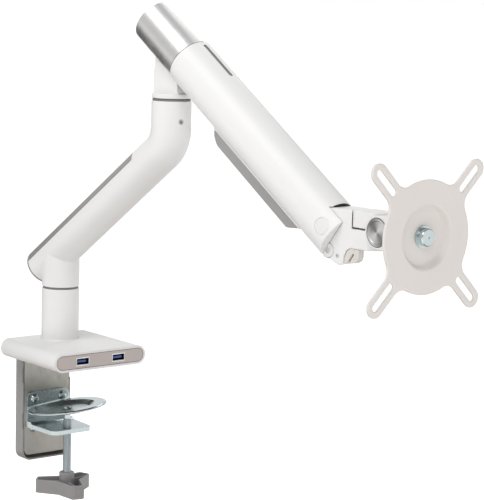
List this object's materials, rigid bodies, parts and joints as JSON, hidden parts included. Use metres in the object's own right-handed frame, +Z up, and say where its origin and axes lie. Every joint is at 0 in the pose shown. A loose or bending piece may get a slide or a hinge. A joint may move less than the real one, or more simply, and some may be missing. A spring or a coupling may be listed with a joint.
{
  "type": "monitor arm",
  "caption": "Desk-clamp monitor arm with a fixed lower arm, a spring-balanced upper arm with a parallel link, a tilting and turning mounting plate, and data ports in its base.",
  "frame": {"origin": "centre of the column at the base's desk face", "axes": "+Z up, -Y towards the front panel and the arm's reach, +X to the right seen from the front"},
  "size_m": [0.1573, 0.4804, 0.4661],
  "materials": {
    "white_paint": "satin white powder coat",
    "plate_paint": "satin warm white powder coat",
    "white_plastic": "satin moulded",
    "grey_plastic": "fine moulded texture",
    "knob_plastic": "fine moulded texture",
    "clip_plastic": "moulded",
    "dark_plastic": "matt",
    "bush_plastic": "acetal, natural",
    "panel": "satin champagne",
    "port_metal": "stamped",
    "port_blue": "moulded",
    "board": "solder mask",
    "pad": "foam rubber",
    "steel": "turned",
    "dark_steel": "blackened",
    "plate_steel": "satin grey coat",
    "zinc": "blue zinc plate",
    "silver": "fine brushed",
    "cast_grey": "die cast",
    "brass": "turned"
  },
  "bodies": {
    "base": {"base_cover": "white_paint", "base_plate": "dark_steel", "base_pad": "pad", "usb_panel": "panel", "usb_shells": "port_metal", "usb_tongues": "port_blue", "usb_board": "board", "base_screws": "steel", "column": "white_paint", "column_shaft": "steel", "column_washer": "dark_plastic", "clamp_plate": "plate_steel", "clamp_cover": "grey_plastic", "clamp_bracket": "zinc", "bracket_bolts": "zinc"},
    "clamp_carrier": {"disc_rivet": "zinc"},
    "clamp_disc": {"pressure_disc": "zinc"},
    "clamp_knob": {"clamp_screw": "steel", "clamp_knob": "knob_plastic"},
    "lower_arm": {"lower_arm": "white_paint", "lower_cable_cover": "grey_plastic", "lower_end_cap": "grey_plastic", "sleeve_bushes": "bush_plastic", "elbow_bushes": "bush_plastic", "elbow_set_screw": "dark_steel", "elbow_washer": "dark_plastic"},
    "yoke": {"yoke": "white_paint", "yoke_shaft": "steel", "yoke_bush": "bush_plastic", "yoke_link_pin": "steel"},
    "spring_arm": {"spring_tube": "white_paint", "end_sleeve": "silver", "end_plug": "silver", "rear_carrier": "cast_grey", "rear_pivot_pin": "steel", "front_pivot_pin": "steel", "pivot_caps": "white_plastic", "indicator_window": "dark_plastic", "tension_nut": "brass", "tension_rod": "steel", "spring": "steel", "upper_cable_rail": "white_plastic", "upper_cable_cover": "grey_plastic"},
    "link": {"parallel_link": "steel"},
    "knuckle": {"knuckle": "white_paint", "knuckle_bush": "bush_plastic", "knuckle_link_pin": "steel", "link_pin_bosses": "white_plastic", "knuckle_screw": "dark_steel", "cable_clip": "clip_plastic", "swivel_pin": "steel", "swivel_washer": "dark_plastic"},
    "head": {"head_block": "white_paint", "swivel_cap": "white_plastic"},
    "tilt_bracket": {"tilt_bracket": "white_paint", "tilt_axle": "steel", "tilt_caps": "silver", "plate_bolt": "zinc"},
    "plate": {"vesa_plate": "plate_paint"}
  },
  "joints": [
    {"name": "arm_swing", "type": "hinge", "parent": "base", "child": "lower_arm", "pos_m": [0, 0, 0.0683], "axis": [0, 0, 1], "range_deg": [-90, 90]},
    {"name": "elbow_swing", "type": "hinge", "parent": "lower_arm", "child": "yoke", "pos_m": [0.01738, -0.14798, 0.2527], "axis": [0, 0, 1], "range_deg": [-150, 150]},
    {"name": "lift", "type": "hinge", "parent": "yoke", "child": "spring_arm", "pos_m": [0.01738, -0.14798, 0.3099], "axis": [0.9914, 0.1305, 0], "range_deg": [-75, 5]},
    {"name": "link_swing", "type": "hinge", "parent": "yoke", "child": "link", "pos_m": [0.01738, -0.14798, 0.2899], "axis": [0.9914, 0.1305, 0], "range_deg": [-75, 5]},
    {"name": "knuckle_level", "type": "hinge", "parent": "spring_arm", "child": "knuckle", "pos_m": [0.04323, -0.34433, 0.16229], "axis": [0.9914, 0.1305, 0], "range_deg": [-5, 75]},
    {"name": "head_swivel", "type": "hinge", "parent": "knuckle", "child": "head", "pos_m": [0.04819, -0.38196, 0.16259], "axis": [0, 0, 1], "range_deg": [-45, 45]},
    {"name": "plate_tilt", "type": "hinge", "parent": "head", "child": "tilt_bracket", "pos_m": [0.04819, -0.40196, 0.16259], "axis": [1, 0, 0], "range_deg": [-40, 40]},
    {"name": "plate_turn", "type": "hinge", "parent": "tilt_bracket", "child": "plate", "pos_m": [0.04819, -0.44196, 0.16259], "axis": [0, -1, 0], "range_deg": [-90, 90]},
    {"name": "clamp_travel", "type": "slide", "parent": "base", "child": "clamp_carrier", "axis": [0, 0, 1], "range_m": [-0.012, 0.038]},
    {"name": "knob_turn", "type": "hinge", "parent": "clamp_carrier", "child": "clamp_knob", "pos_m": [0, -0.0145, -0.1], "axis": [0, 0, 1], "range_deg": [-3460, 10948]},
    {"name": "disc_tilt", "type": "hinge", "parent": "clamp_carrier", "child": "clamp_disc", "pos_m": [0, -0.0145, -0.046], "axis": [0.7581, 0.6521, 0], "range_deg": [0, 14]}
  ],
  "couplings": [
    {"joint": "link_swing", "follows": "lift", "ratio": 1},
    {"joint": "knuckle_level", "follows": "lift", "ratio": -1},
    {"joint": "knob_turn", "follows": "clamp_travel", "rad_per_m": 5026.5}
  ]
}
